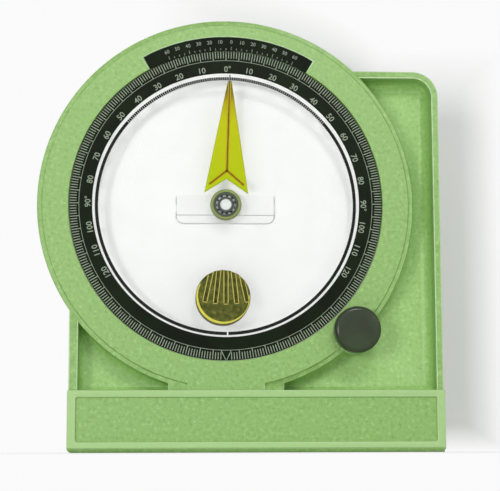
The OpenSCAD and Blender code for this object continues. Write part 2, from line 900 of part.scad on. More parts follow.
module rear_cover()
    color("#97c573")
        difference() {
            union() {
                turned()
                    polygon([[0, cover_y], [cover_r, cover_y], [cover_r, back_y - cover_edge],
                        [cover_r - cover_edge, back_y], [0, back_y]]);
                turned(knob_axis)
                    polygon([[0, cover_y], [cover_lobe_r, cover_y],
                        [cover_lobe_r, back_y - cover_edge],
                        [cover_lobe_r - cover_edge, back_y], [0, back_y]]);
                difference() {
                    ring(stack_r - skirt_w, stack_r - slip, plate_back_y, cover_y + sink);
                    shaft_relief();
                }
                bar(knob_axis, boss_r, boss_y, cover_y + sink);
            }
            bar(knob_axis, rear_bush_r + fit, boss_y - past, blind_y);
            cover_screw_places()
                rotate([-90, 0, 0]) {
                    translate([0, 0, cover_y - past])
                        cylinder(r = cover_screw_r + slip, h = cover_t + past);
                    translate([0, 0, cover_head_y])
                        cylinder(r = cover_head_r + slip, h = cover_t);
                }
            bar(dial_axis, cover_r - cover_rim_w, back_y - cover_sunk_d, back_y + past);
        }

module cover_screws()
    color("#c2c5c9")
        cover_screw_places()
            rotate([-90, 0, 0])
                difference() {
                    union() {
                        translate([0, 0, cover_screw_y])
                            cylinder(r = cover_screw_r, h = cover_screw_l + sink);
                        translate([0, 0, cover_head_y])
                            cylinder(r = cover_head_r, h = cover_head_t);
                    }
                    translate([-cover_head_r - past, -cover_slot_w / 2,
                        cover_head_y + cover_head_t - cover_slot_d])
                        cube([2 * (cover_head_r + past), cover_slot_w, cover_slot_d + past]);
                }

body();
vernier_plate();
dial_ring();
comb_scale_ring();
window();
ring_gear();
retainer_ring();
spacer_ring();
dial_plate();
bridge();
bridge_screws();
pivot_shaft();
shaft_nut();
bearing_inner_race();
bearing_outer_race();
bearing_balls();
bearing_cage();
pendulum_hub();
hub_clamp_ring();
pendulum_disc();
pointer();
hairline_wire();
counterweight();
knob();
knob_shaft();
pinion();
front_bush();
rear_bush();
spring_washer();
shaft_clip();
rear_cover();
cover_screws();
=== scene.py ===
import json
import math

import bmesh
import bpy
from bpy.props import FloatProperty, FloatVectorProperty, IntProperty, PointerProperty
from bpy.types import Operator, Panel, PropertyGroup
from mathutils import Matrix, Vector

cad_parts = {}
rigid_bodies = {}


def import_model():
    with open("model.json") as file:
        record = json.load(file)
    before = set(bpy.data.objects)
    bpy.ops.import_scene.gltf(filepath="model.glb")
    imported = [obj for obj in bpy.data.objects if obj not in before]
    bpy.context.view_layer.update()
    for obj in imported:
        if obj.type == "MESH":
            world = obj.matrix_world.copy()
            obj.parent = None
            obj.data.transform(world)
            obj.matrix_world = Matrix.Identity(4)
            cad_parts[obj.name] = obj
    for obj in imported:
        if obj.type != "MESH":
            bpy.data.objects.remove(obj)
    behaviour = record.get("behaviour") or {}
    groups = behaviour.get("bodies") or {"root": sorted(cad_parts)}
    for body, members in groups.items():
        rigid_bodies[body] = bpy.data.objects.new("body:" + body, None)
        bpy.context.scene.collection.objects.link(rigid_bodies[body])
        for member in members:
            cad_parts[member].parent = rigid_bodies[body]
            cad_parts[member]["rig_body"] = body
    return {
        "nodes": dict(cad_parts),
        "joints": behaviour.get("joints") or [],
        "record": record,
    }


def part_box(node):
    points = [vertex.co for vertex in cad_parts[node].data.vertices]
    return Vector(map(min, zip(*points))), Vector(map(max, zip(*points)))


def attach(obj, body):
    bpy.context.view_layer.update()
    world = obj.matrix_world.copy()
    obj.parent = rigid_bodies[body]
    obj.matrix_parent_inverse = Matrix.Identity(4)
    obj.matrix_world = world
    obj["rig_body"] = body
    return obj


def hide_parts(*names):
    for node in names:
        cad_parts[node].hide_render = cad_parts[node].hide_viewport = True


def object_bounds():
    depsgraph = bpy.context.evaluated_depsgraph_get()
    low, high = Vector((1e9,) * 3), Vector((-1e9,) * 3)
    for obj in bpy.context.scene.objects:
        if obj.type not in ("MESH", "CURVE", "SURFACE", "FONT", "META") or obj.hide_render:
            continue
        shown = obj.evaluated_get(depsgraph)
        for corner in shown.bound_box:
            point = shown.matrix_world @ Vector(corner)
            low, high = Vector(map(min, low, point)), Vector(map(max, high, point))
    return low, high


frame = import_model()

bl_info = {
    "name": "Inclinometer looks",
    "version": (1, 0, 0),
    "blender": (4, 5, 0),
    "location": "3D View > Sidebar > Inclinometer",
    "description": "Paint, scales, pointer, bearing and studio for a pendulum inclinometer",
    "category": "Object",
}

MM = 0.001
CAD_BOX = [list(corner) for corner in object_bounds()]
AXIS = Vector(next(j["pos_m"] for j in frame["joints"] if j["name"] == "dial_turn"))
KNOB_AXIS = Vector(next(j["pos_m"] for j in frame["joints"] if j["name"] == "knob_turn"))
SLOTS = {part["node"]: part["material_slot"] for part in frame["record"]["subparts"]}
RING_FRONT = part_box("dial_ring")[0].y
RING_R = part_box("dial_ring")[1].x
COMB_R = RING_R - 11.5 * MM
TOOTH_IN = COMB_R + 0.05 * MM      # where the comb's teeth and its black band start
TOOTH_OUT = COMB_R + 1.35 * MM     # where they end
PRINT_T = 0.03 * MM                # thickness of printed marks
DEGREE = math.radians(1)
LAST_NUMBER = 120                  # highest number on each side of the degree ring
BRIDGE_SQUASH = 0.88               # height of the bridge's shown block against its CAD height
SLOT_STEP = 6.1 * DEGREE           # angle between two slots of the counterweight
SLOT_FOOT = 40 * MM                # distance of the slots' lower ends from the dial's axis
CORNER = 50 * DEGREE               # outer corners of the housing sharper than this are rounded
# pale tone of rounded edges: rubbed paint and a painted highlight
RUB_AND_HIGHLIGHT_TONE = (0.62, 0.80, 0.52)
WALL_GAP = 45 * MM                 # from the object's back to the backdrop
# The backdrop's painted shadow field:
WALL_SHADOW_FIELD = {                      # where the backdrop goes from grey to white, from and to
    "right": (0.110, 0.129), "top": (0.164, 0.184), "left": (-0.03, 0.02), "foot": (0.0, 0.012)}
WORLD_LIGHT = 0.42                 # strength of the world on the object, where 1 is white
SHEET_WHITE = 0.96                 # strength of the floor's and backdrop's white


# ---- Sizes and colours that a user would change ----

class ScaleSizes(PropertyGroup):
    tick_width: FloatProperty(
        name="Tick width", description="Width of a degree tick on the ring",
        default=0.34 * MM, min=0.1 * MM, max=0.8 * MM, unit="LENGTH")
    line_radius: FloatProperty(
        name="Line radius", description="Radius of the thin line inside the degree ticks",
        default=58.95 * MM, min=56 * MM, max=60 * MM, unit="LENGTH")
    tick_radius: FloatProperty(
        name="Tick radius", description="Radius where the single degree ticks start",
        default=59.9 * MM, min=58 * MM, max=61 * MM, unit="LENGTH")
    numeral_size: FloatProperty(
        name="Numeral size", description="Letter size of the degree numerals",
        default=3.3 * MM, min=2 * MM, max=4 * MM, unit="LENGTH")
    numeral_radius: FloatProperty(
        name="Numeral radius", description="Radius of the middle of the degree numerals",
        default=55.45 * MM, min=54 * MM, max=58 * MM, unit="LENGTH")
    vernier_zero: FloatProperty(
        name="Vernier zero", description="Angle of the vernier's zero, clockwise from the top",
        default=math.radians(1.9), min=-0.2, max=0.2, subtype="ANGLE")
    vernier_step: FloatProperty(
        name="Vernier step", description="Angle between two ticks of the vernier",
        default=math.radians(23 / 12), min=0.01, max=0.1, subtype="ANGLE")
    comb_half: IntProperty(
        name="Comb teeth each side", description="Single degree teeth each side of the comb's top",
        default=50, min=10, max=170)


class PaintColours(PropertyGroup):
    paint: FloatVectorProperty(
        name="Paint", description="Middle colour of the hammertone paint",
        default=(0.247, 0.44, 0.12), size=3, min=0, max=1, subtype="COLOR")
    paint_dark: FloatVectorProperty(
        name="Dark spots", description="Colour of the paint's dark spots",
        default=(0.175, 0.335, 0.075), size=3, min=0, max=1, subtype="COLOR")
    paint_light: FloatVectorProperty(
        name="Light spots", description="Colour of the paint's light spots",
        default=(0.34, 0.55, 0.20), size=3, min=0, max=1, subtype="COLOR")
    print_grey: FloatVectorProperty(
        name="Print", description="Colour of the printed marks on the black ring",
        default=(0.30, 0.36, 0.27), size=3, min=0, max=1, subtype="COLOR")
    pointer_green: FloatVectorProperty(
        name="Pointer", description="Colour of the wide end of the fluorescent pointer",
        default=(0.44, 0.545, 0.002), size=3, min=0, max=1, subtype="COLOR")


class StageSizes(PropertyGroup):
    eye: FloatVectorProperty(
        name="Camera place", description="Place of the camera",
        default=(-0.01945, -0.6078, 0.0016), size=3, unit="LENGTH", subtype="TRANSLATION")
    pitch: FloatProperty(
        name="Camera pitch", description="Angle of the view above the horizon",
        default=math.radians(7.73), subtype="ANGLE")
    yaw: FloatProperty(
        name="Camera yaw", description="Angle of the view towards the knob's side",
        default=math.radians(2.8), subtype="ANGLE")
    roll: FloatProperty(
        name="Camera roll", description="Turn of the picture",
        default=math.radians(-0.18), subtype="ANGLE")
    lens: FloatProperty(
        name="Focal length", description="Focal length on a 36 mm wide sensor, in millimetres",
        default=107.64, min=20, max=300)


# ---- Materials ----

class Finish:
    """A Principled material under construction, with short calls for its nodes."""

    def __init__(self, name, colour, roughness=0.5, metallic=0.0, alpha=1.0, coat=0.0, ior=1.5,
                 specular=0.5):
        self.material = bpy.data.materials.new(name)
        self.material.use_nodes = True
        self.nodes = self.material.node_tree.nodes
        self.links = self.material.node_tree.links
        self.shader = self.nodes["Principled BSDF"]
        self.set(self.shader, "Base Color", (*colour, 1.0))
        self.set(self.shader, "Roughness", roughness)
        self.set(self.shader, "Metallic", metallic)
        self.set(self.shader, "Alpha", alpha)
        self.set(self.shader, "Coat Weight", coat)
        self.set(self.shader, "IOR", ior)
        self.set(self.shader, "Specular IOR Level", specular)
        self.place = self.node("ShaderNodeTexCoord").outputs["Object"]

    def node(self, kind, **values):
        node = self.nodes.new(kind)
        for name, value in values.items():
            setattr(node, name, value)
        return node

    def set(self, node, socket, value):
        node.inputs[socket].default_value = value

    def link(self, source, node, socket):
        self.links.new(source, node.inputs[socket])

    def noise(self, size, detail=2.0, rough=0.5, stretch=(1, 1, 1)):
        """Noise whose spots are about size across."""
        place = self.node("ShaderNodeMapping")
        self.link(self.place, place, "Vector")
        self.set(place, "Scale", stretch)
        noise = self.node("ShaderNodeTexNoise")
        self.link(place.outputs["Vector"], noise, "Vector")
        self.set(noise, "Scale", 0.6 / size)
        self.set(noise, "Detail", detail)
        self.set(noise, "Roughness", rough)
        return noise.outputs["Fac"]

    def cells(self, size):
        """Rounded cells about size across."""
        cells = self.node("ShaderNodeTexVoronoi", feature="SMOOTH_F1")
        self.link(self.place, cells, "Vector")
        self.set(cells, "Scale", 1 / size)
        return cells.outputs["Distance"]

    def ramp(self, factor, stops):
        """A colour for each place of factor, from (place, colour) stops."""
        ramp = self.node("ShaderNodeValToRGB")
        self.link(factor, ramp, "Fac")
        points = ramp.color_ramp.elements
        while len(points) < len(stops):
            points.new(0.5)
        for point, (place, colour) in zip(points, stops):
            point.position = place
            point.color = (*colour, 1.0) if len(colour) == 3 else colour
        return ramp.outputs["Color"]

    def spread(self, factor, low, high, start=0.3, end=0.7):
        """Maps factor from start-end to low-high."""
        spread = self.node("ShaderNodeMapRange")
        self.link(factor, spread, "Value")
        for socket, value in (("From Min", start), ("From Max", end),
                              ("To Min", low), ("To Max", high)):
            self.set(spread, socket, value)
        return spread.outputs["Result"]

    def along(self, axis):
        """The object's own coordinate along x, y or z."""
        split = self.node("ShaderNodeSeparateXYZ")
        self.link(self.place, split, "Vector")
        return split.outputs[axis]

    def maths(self, operation, a, b=None):
        maths = self.node("ShaderNodeMath", operation=operation)
        for index, value in enumerate((a, b)):
            if value is None:
                continue
            if isinstance(value, (int, float)):
                maths.inputs[index].default_value = value
            else:
                self.links.new(value, maths.inputs[index])
        return maths.outputs[0]

    def mix(self, factor, a, b):
        """Goes from colour a to colour b by a factor."""
        mix = self.node("ShaderNodeMix", data_type="RGBA")
        self.links.new(factor, mix.inputs["Factor"])
        for socket, value in (("A", a), ("B", b)):
            target = [s for s in mix.inputs if s.name == socket and s.type == "RGBA"][0]
            if isinstance(value, tuple):
                target.default_value = (*value, 1.0)
            else:
                self.links.new(value, target)
        return [s for s in mix.outputs if s.type == "RGBA"][0]

    def bump(self, height, distance, strength=1.0):
        bump = self.node("ShaderNodeBump")
        self.set(bump, "Strength", strength)
        self.set(bump, "Distance", distance)
        self.link(height, bump, "Height")
        self.link(bump.outputs["Normal"], self.shader, "Normal")


def hammertone(name, rub_and_highlight=0.0):
    """Green hammertone paint: fine cells on machined faces, coarser ones on the cast web, whose
    tones are raised as painted light that makes up for the shade in its pocket. It is mixed by the
    given amount with a pale tone that stands for rubbed paint and a painted highlight on rounded
    edges; the proudest front and back faces are painted lighter for rubbed paint and a painted
    sheen."""
    c = bpy.context.scene.paint_colours
    base, dark, light = (tuple(v + (pale - v) * rub_and_highlight for v, pale in zip(col, RUB_AND_HIGHLIGHT_TONE))
                         for col in (c.paint, c.paint_dark, c.paint_light))
    f = Finish(name, base, 0.42, coat=0.4 * rub_and_highlight)
    depth = f.maths("ABSOLUTE", f.along("Y"))
    outer = f.spread(depth, 0.0, 1.0, 5 * MM, 9 * MM)
    fine = f.noise(1.0 * MM, 3.0, 0.65)
    coarse = f.noise(1.0 * MM, 4.0, 0.7)
    fine_colour = f.ramp(fine, [(0.30, dark), (0.46, base), (0.54, base), (0.70, light)])
    # The web's tones are raised above the paint's: painted light that makes up for the shade in the
    # pocket.
    cast = [tuple(min(1.0, v * k) for v, k in zip(col, (1.42, 1.32, 1.55)))
            for col in (dark, base, base, light)]
    coarse_colour = f.ramp(coarse, list(zip((0.28, 0.46, 0.54, 0.72), cast)))
    both = f.mix(outer, coarse_colour, fine_colour)
    speck = f.spread(f.noise(1.1 * MM, 1.0, 0.5), 0.0, 0.25, 0.66, 0.74)
    spotted = f.mix(speck, both, (0.22, 0.33, 0.12))
    # The proudest front and back faces are painted lighter: rubbed paint and a painted sheen.
    raised = f.spread(depth, 0.0, 0.85, 15.3 * MM, 15.7 * MM)
    f.link(f.mix(raised, spotted, (0.39, 0.60, 0.25)), f.shader, "Base Color")
    f.link(f.spread(fine, 0.36, 0.54), f.shader, "Roughness")
    height = f.maths("ADD", f.maths("MULTIPLY", f.cells(1.3 * MM), 0.8), fine)
    f.bump(height, 0.09 * MM, 0.5)
    return f.material


def satin(name, colour, roughness=0.42, grain=0.4, depth=0.01, change=0.12, coat=0.0,
          specular=0.5):
    """Moulded or painted surface with a slight change of tone and a fine grain."""
    f = Finish(name, colour, roughness, coat=coat, specular=specular)
    tone = f.noise(6 * MM, 3.0)
    low = tuple(v * (1 - change) for v in colour)
    high = tuple(min(1.0, v * (1 + change)) for v in colour)
    f.link(f.ramp(tone, [(0.35, low), (0.65, high)]), f.shader, "Base Color")
    fine = f.noise(grain * MM, 2.0, 0.6)
    f.link(f.spread(fine, roughness - 0.06, roughness + 0.06), f.shader, "Roughness")
    f.bump(fine, depth * MM, 0.6)
    return f.material


def metal(name, colour, roughness=0.25, metallic=1.0, turned=None, depth=0.006):
    """Metal with fine machining marks, round a centre where the piece is turned."""
    f = Finish(name, colour, roughness, metallic)
    tone = f.noise(2.5 * MM, 3.0)
    low = tuple(v * 0.82 for v in colour)
    f.link(f.ramp(tone, [(0.3, low), (0.7, colour)]), f.shader, "Base Color")
    if turned is None:
        marks = f.noise(0.25 * MM, 2.0, 0.6, (1, 1, 0.15))
    else:
        centre = f.node("ShaderNodeMapping", vector_type="POINT")
        f.link(f.place, centre, "Vector")
        f.set(centre, "Location", (-turned.x, 0, -turned.z))
        rings = f.node("ShaderNodeTexWave", wave_type="RINGS", rings_direction="Y")
        f.link(centre.outputs["Vector"], rings, "Vector")
        f.set(rings, "Scale", 900.0)
        f.set(rings, "Distortion", 1.5)
        marks = rings.outputs["Fac"]
    f.link(f.spread(marks, roughness - 0.06, roughness + 0.08, 0.2, 0.8), f.shader, "Roughness")
    f.bump(marks, depth * MM, 0.5)
    return f.material


def clear(name, alpha, tint=(0.12, 0.14, 0.12)):
    """Clear acrylic, see-through by its alpha, with faint haze."""
    f = Finish(name, tint, 0.05, alpha=alpha, ior=1.49)
    f.link(f.spread(f.noise(9 * MM, 2.0), 0.03, 0.10), f.shader, "Roughness")
    f.material.use_backface_culling = False
    return f.material


def print_ink(name, colour):
    """Matt ink of the printed marks, a little uneven."""
    f = Finish(name, colour, 0.6, specular=0.15)
    low = tuple(v * 0.75 for v in colour)
    f.link(f.ramp(f.noise(0.7 * MM, 2.0), [(0.3, low), (0.6, colour)]), f.shader, "Base Color")
    f.bump(f.noise(0.2 * MM), 0.004 * MM, 0.4)
    return f.material


def pointer_paint():
    """Fluorescent plastic that turns from yellow-green at the base to orange-yellow at the tip."""
    green = tuple(bpy.context.scene.paint_colours.pointer_green)
    f = Finish("fluorescent_plastic", green, 0.4, specular=0.06)
    up = f.spread(f.along("Z"), 0.0, 1.0, AXIS.z + 8 * MM, AXIS.z + 50 * MM)
    wave = f.maths("ADD", up, f.maths("MULTIPLY", f.noise(4 * MM), 0.12))
    f.link(f.ramp(wave, [(0.1, green), (0.7, (0.50, 0.53, 0.004)), (0.88, (0.42, 0.36, 0.004)),
                   (1.0, (0.20, 0.14, 0.003))]),
           f.shader, "Base Color")
    f.bump(f.noise(1.2 * MM), 0.01 * MM, 0.5)
    return f.material


def weight_brass():
    """Dull olive brass with darker blotches."""
    f = Finish("weight_brass", (0.10, 0.105, 0.02), 0.45, 0.1, specular=0.08)
    blotch = f.noise(1.1 * MM, 4.0, 0.7)
    f.link(f.ramp(blotch, [(0.30, (0.035, 0.05, 0.008)), (0.5, (0.08, 0.09, 0.014)),
                           (0.70, (0.18, 0.165, 0.035))]), f.shader, "Base Color")
    f.link(f.spread(blotch, 0.32, 0.52), f.shader, "Roughness")
    f.bump(f.noise(0.5 * MM, 3.0), 0.03 * MM, 0.6)
    return f.material


MADE = {}
MAKERS = {
    "paint": lambda: hammertone("hammertone_paint"),
    # paler finish of rounded edges: rubbed paint and a painted highlight
    "paint_edge": lambda: hammertone("hammertone_edge", 0.62),
    "ring_black": lambda: satin("ring_black", (0.004, 0.009, 0.002), 0.45, 0.3, 0.006, 0.3,
                                specular=0.07),
    "plate_black": lambda: satin("plate_black", (0.004, 0.008, 0.002), 0.5, 0.3, 0.006, 0.3,
                                 specular=0.07),
    "white_scale": lambda: satin("white_scale", (0.88, 0.89, 0.87), 0.4, 0.5, 0.004, 0.02),
    "white_dial": lambda: satin("white_dial", (0.96, 0.97, 0.965), 0.55, 0.6, 0.006, 0.015),
    "white_bridge": lambda: satin("white_bridge", (0.92, 0.925, 0.92), 0.35, 0.6, 0.004, 0.01, 0.2),
    # grey of the painted shade and painted shadow round the bridge
    "bridge_edge": lambda: satin("bridge_edge", (0.42, 0.43, 0.42), 0.5, 0.6, 0.004, 0.02),
    "window": lambda: clear("window_acrylic", 0.006),
    "disc": lambda: clear("disc_acrylic", 0.006),
    "gear": lambda: satin("gear_plastic", (0.60, 0.60, 0.56), 0.45, 0.4, 0.01, 0.06),
    "spacer": lambda: satin("spacer_plastic", (0.68, 0.68, 0.65), 0.6, 0.5, 0.01, 0.05),
    "aluminium": lambda: metal("bare_aluminium", (0.62, 0.63, 0.62), 0.35, turned=AXIS),
    "screw": lambda: metal("screw_steel", (0.55, 0.56, 0.58), 0.32),
    "shaft": lambda: metal("shaft_steel", (0.70, 0.75, 0.70), 0.35, 0.1, AXIS),
    "race": lambda: metal("race_steel", (0.022, 0.032, 0.024), 0.35, 0.2, AXIS),
    "ball": lambda: metal("ball_steel", (0.70, 0.75, 0.70), 0.25, 0.0, depth=0.001),
    "cage": lambda: metal("cage_brass", (0.03, 0.045, 0.02), 0.4, 0.3),
    "hub": lambda: metal("hub_brass", (0.17, 0.225, 0.055), 0.38, 0.3, AXIS),
    "pointer": pointer_paint,
    # pale band round the arrow's front face: a painted glow of the fluorescent plastic's edges
    "pointer_edge_glow": lambda: satin("pointer_edge_glow", (0.80, 0.86, 0.16), 0.3, 0.5, 0.002, 0.05),
    "pointer_line": lambda: print_ink("pointer_line", (0.16, 0.045, 0.001)),
    "line_glow": lambda: print_ink("pointer_line_glow", (0.46, 0.36, 0.003)),
    "wire": lambda: satin("wire_black", (0.010, 0.009, 0.006), 0.45, 0.3, 0.002, 0.1),
    "weight": weight_brass,
    # pale brass of the weight's painted highlights along its rim and slots
    "weight_rim_highlight": lambda: metal("weight_rim_highlight", (0.62, 0.57, 0.055), 0.3, 0.3, depth=0.004),
    "slot_highlight": lambda: metal("slot_highlight", (0.48, 0.41, 0.07), 0.35, 0.3, depth=0.004),
    "knob": lambda: satin("knob_plastic", (0.017, 0.031, 0.008), 0.38, 0.5, 0.01, 0.25, 0.35,
                          specular=0.2),
    "pinion": lambda: metal("pinion_brass", (0.62, 0.46, 0.17), 0.3, turned=KNOB_AXIS),
    "bush": lambda: metal("bush_brass", (0.58, 0.42, 0.15), 0.35, turned=KNOB_AXIS),
    "spring": lambda: metal("spring_steel", (0.45, 0.46, 0.48), 0.3, turned=KNOB_AXIS),
    "print": lambda: print_ink("scale_print", tuple(bpy.context.scene.paint_colours.print_grey)),
    "vernier_print": lambda: print_ink("vernier_print", (0.28, 0.33, 0.28)),
    "comb_print": lambda: print_ink("comb_print", (0.006, 0.010, 0.007)),
}


def finish(name):
    """The finish of a name, made when it is first asked for."""
    if name not in MADE:
        MADE[name] = MAKERS[name]()
    return MADE[name]


# ---- Meshes ----

SHARP = math.radians(30)           # edges sharper than this stay sharp, or get rounded


def piece(name, mesh, body, slot, *materials):
    """Links a finished mesh as a piece that rides on a body."""
    mesh.materials.clear()
    for material in materials:
        mesh.materials.append(finish(material))
    obj = bpy.data.objects.new(name, mesh)
    bpy.context.scene.collection.objects.link(obj)
    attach(obj, body)
    return obj


def to_mesh(name, shape):
    """Turns a bmesh into a mesh."""
    mesh = bpy.data.meshes.new(name)
    shape.to_mesh(mesh)
    shape.free()
    return mesh


def closed(name, shape):
    """Turns a bmesh into a mesh whose faces point outwards."""
    bmesh.ops.recalc_face_normals(shape, faces=shape.faces)
    return to_mesh(name, shape)


def dressed(node, name, *materials, bevel=0.0, convex=False, chamfers=0.0, shadow=True):
    """A CAD node's shape with joined faces, smooth shading and rounded edges, which stands for the
    node. Sizes are in millimetres. Where convex is set, only the outer corners of its front and
    back faces are rounded. Its own chamfers beyond the depth of chamfers get the second finish."""
    source = frame["nodes"][node]
    shape = bmesh.new()
    shape.from_mesh(source.data)
    bmesh.ops.remove_doubles(shape, verts=shape.verts, dist=0.001 * MM)
    bmesh.ops.dissolve_limit(shape, angle_limit=math.radians(0.4), verts=shape.verts,
                             edges=shape.edges)
    if chamfers:
        for face in shape.faces:
            if 0.5 < abs(face.normal.y) < 0.9 and abs(face.calc_center_median().y) > chamfers * MM:
                face.material_index = 1
    if convex:
        weight = shape.edges.layers.float.new("bevel_weight_edge")
        for edge in shape.edges:
            flat = any(abs(face.normal.y) > 0.99 for face in edge.link_faces)
            if flat and edge.is_convex and edge.calc_face_angle() > CORNER:
                edge[weight] = 1.0
    mesh = to_mesh(name, shape)
    mesh.polygons.foreach_set("use_smooth", [True] * len(mesh.polygons))
    mesh.set_sharp_from_angle(angle=SHARP)
    obj = piece(name, mesh, source["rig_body"], SLOTS[node], *materials)
    if bevel:
        rounding = obj.modifiers.new("rounded_edges", "BEVEL")
        rounding.width = bevel * MM
        rounding.segments = 2
        rounding.limit_method = "WEIGHT" if convex else "ANGLE"
        rounding.angle_limit = SHARP
        rounding.use_clamp_overlap = not convex
        rounding.harden_normals = True
        if len(materials) > 1:
            rounding.material = 1
    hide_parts(node)
    obj.visible_shadow = shadow
    return obj


def plain(node, material):
    """Gives a CAD node that stays its finish."""
    obj = frame["nodes"][node]
    obj.data.materials.clear()
    obj.data.materials.append(finish(material))


def around(radius, angle, y, centre=AXIS):
    """The place at a radius and an angle clockwise from the top of the dial."""
    return Vector((centre.x + radius * math.sin(angle), y, centre.z + radius * math.cos(angle)))


def arc_plate(shape, r_in, r_out, start, end, front, back, steps, centre=AXIS):
    """Adds a thin closed arc to a bmesh. A full circle closes on itself. The inner radius may
    change with the angle."""
    full = abs(end - start) > 2 * math.pi - 1e-6
    count = steps if full else steps + 1
    rows = []
    for i in range(count):
        angle = start + (end - start) * i / steps
        inner = r_in(angle) if callable(r_in) else r_in
        rows.append([shape.verts.new(around(r, angle, y, centre))
                     for r, y in ((inner, front), (r_out, front), (r_out, back), (inner, back))])
    for i in range(steps):
        a, b = rows[i], rows[(i + 1) % count]
        for k in range(4):
            shape.faces.new((a[k], b[k], b[(k + 1) % 4], a[(k + 1) % 4]))
    if not full:
        shape.faces.new(rows[0])
        shape.faces.new(rows[-1][::-1])


def bar_plate(shape, a, b, width, front, back):
    """Adds a thin closed bar from place a to place b to a bmesh."""
    along = (b - a).normalized()
    side = Vector((along.z, 0, -along.x)) * width / 2
    ends = [[a - side, a + side], [b - side, b + side]]
    v = [shape.verts.new(Vector((p.x, y, p.z))) for y in (front, back) for row in ends for p in row]
    for face in ((0, 1, 3, 2), (4, 6, 7, 5), (0, 4, 5, 1),
                 (1, 5, 7, 3), (3, 7, 6, 2), (2, 6, 4, 0)):
        shape.faces.new([v[i] for i in face])


def add_numeral(shape, text, size, radius, angle, front, weight=0.0):
    """Adds a number to a bmesh, its digits centred at an angle round the dial, as thin plates."""
    curve = bpy.data.curves.new("numeral", "FONT")
    curve.body = text.rstrip("°")
    curve.size = size
    curve.resolution_u = 3
    curve.offset = weight
    curve.extrude = PRINT_T / 2
    obj = bpy.data.objects.new("numeral", curve)
    bpy.context.scene.collection.objects.link(obj)
    bpy.context.view_layer.update()
    middle = sum((Vector(c) for c in obj.bound_box), Vector()) / 8
    curve.body = text
    graph = bpy.context.evaluated_depsgraph_get()
    mesh = bpy.data.meshes.new_from_object(obj.evaluated_get(graph))
    stand = Matrix.Rotation(math.pi / 2, 4, "X") @ Matrix.Translation(-middle)
    mesh.transform(Matrix.Translation((AXIS.x, front - PRINT_T / 2, AXIS.z))
                   @ Matrix.Rotation(angle, 4, "Y") @ Matrix.Translation((0, 0, radius)) @ stand)
    shape.from_mesh(mesh)
    bpy.data.objects.remove(obj)
    bpy.data.curves.remove(curve)
    bpy.data.meshes.remove(mesh)


def tick_tree():
    """Geometry Nodes that set thin bars side by side round the dial's axis."""
    if "tick_fan" in bpy.data.node_groups:
        return bpy.data.node_groups["tick_fan"]
    tree = bpy.data.node_groups.new("tick_fan", "GeometryNodeTree")
    for name, kind, value in (
            ("Count", "NodeSocketInt", 10), ("First angle", "NodeSocketFloat", 0.0),
            ("Step angle", "NodeSocketFloat", 0.01), ("Inner radius", "NodeSocketFloat", 0.05),
            ("Length", "NodeSocketFloat", 0.001), ("Width", "NodeSocketFloat", 0.0003),
            ("Thickness", "NodeSocketFloat", PRINT_T), ("Centre", "NodeSocketVector", (0, 0, 0)),
            ("Ink", "NodeSocketMaterial", None)):
        socket = tree.interface.new_socket(name=name, in_out="INPUT", socket_type=kind)
        if value is not None:
            socket.default_value = value
    tree.interface.new_socket(name="Geometry", in_out="OUTPUT", socket_type="NodeSocketGeometry")
    new, link = tree.nodes.new, tree.links.new
    given = new("NodeGroupInput").outputs

    def maths(operation, a, b):
        node = new("ShaderNodeMath")
        node.operation = operation
        for index, value in enumerate((a, b)):
            if isinstance(value, (int, float)):
                node.inputs[index].default_value = value
            else:
                link(value, node.inputs[index])
        return node.outputs[0]

    points = new("GeometryNodePoints")
    link(given["Count"], points.inputs["Count"])
    link(given["Centre"], points.inputs["Position"])
    angle = maths("ADD", maths("MULTIPLY", new("GeometryNodeInputIndex").outputs[0],
                               given["Step angle"]), given["First angle"])
    turn = new("FunctionNodeAxisAngleToRotation")
    turn.inputs["Axis"].default_value = (0, 1, 0)
    link(angle, turn.inputs["Angle"])
    size = new("ShaderNodeCombineXYZ")
    for axis, name in (("X", "Width"), ("Y", "Thickness"), ("Z", "Length")):
        link(given[name], size.inputs[axis])
    bar = new("GeometryNodeMeshCube")
    link(size.outputs[0], bar.inputs["Size"])
    middle = new("ShaderNodeCombineXYZ")
    link(maths("ADD", maths("MULTIPLY", given["Length"], 0.5), given["Inner radius"]),
         middle.inputs["Z"])
    move = new("GeometryNodeTransform")
    link(bar.outputs["Mesh"], move.inputs["Geometry"])
    link(middle.outputs[0], move.inputs["Translation"])
    fan = new("GeometryNodeInstanceOnPoints")
    link(points.outputs[0], fan.inputs["Points"])
    link(move.outputs[0], fan.inputs["Instance"])
    link(turn.outputs[0], fan.inputs["Rotation"])
    real = new("GeometryNodeRealizeInstances")
    link(fan.outputs[0], real.inputs["Geometry"])
    ink = new("GeometryNodeSetMaterial")
    link(real.outputs[0], ink.inputs["Geometry"])
    link(given["Ink"], ink.inputs["Material"])
    link(ink.outputs[0], new("NodeGroupOutput").inputs[0])
    return tree


def tick_fan(name, body, slot, ink, count, first, step, r_in, r_out, width, front):
    """A row of ticks from the tick tree, as a plain mesh that rides on a body."""
    tree = tick_tree()
    seed = bpy.data.objects.new(name + "_seed", bpy.data.meshes.new(name + "_seed"))
    bpy.context.scene.collection.objects.link(seed)
    fan = seed.modifiers.new("ticks", "NODES")
    fan.node_group = tree
    values = {"Count": count, "First angle": first, "Step angle": step, "Inner radius": r_in,
              "Length": r_out - r_in, "Width": width, "Thickness": PRINT_T,
              "Centre": (AXIS.x, front - PRINT_T / 2, AXIS.z), "Ink": finish(ink)}
    for item in tree.interface.items_tree:
        if item.in_out == "INPUT":
            fan[item.identifier] = values[item.name]
    bpy.context.view_layer.update()
    graph = bpy.context.evaluated_depsgraph_get()
    mesh = bpy.data.meshes.new_from_object(seed.evaluated_get(graph))
    mesh.name = name
    bpy.data.objects.remove(seed)
    return piece(name, mesh, body, slot, ink)


# ---- Operators, one for each piece or group of like pieces ----

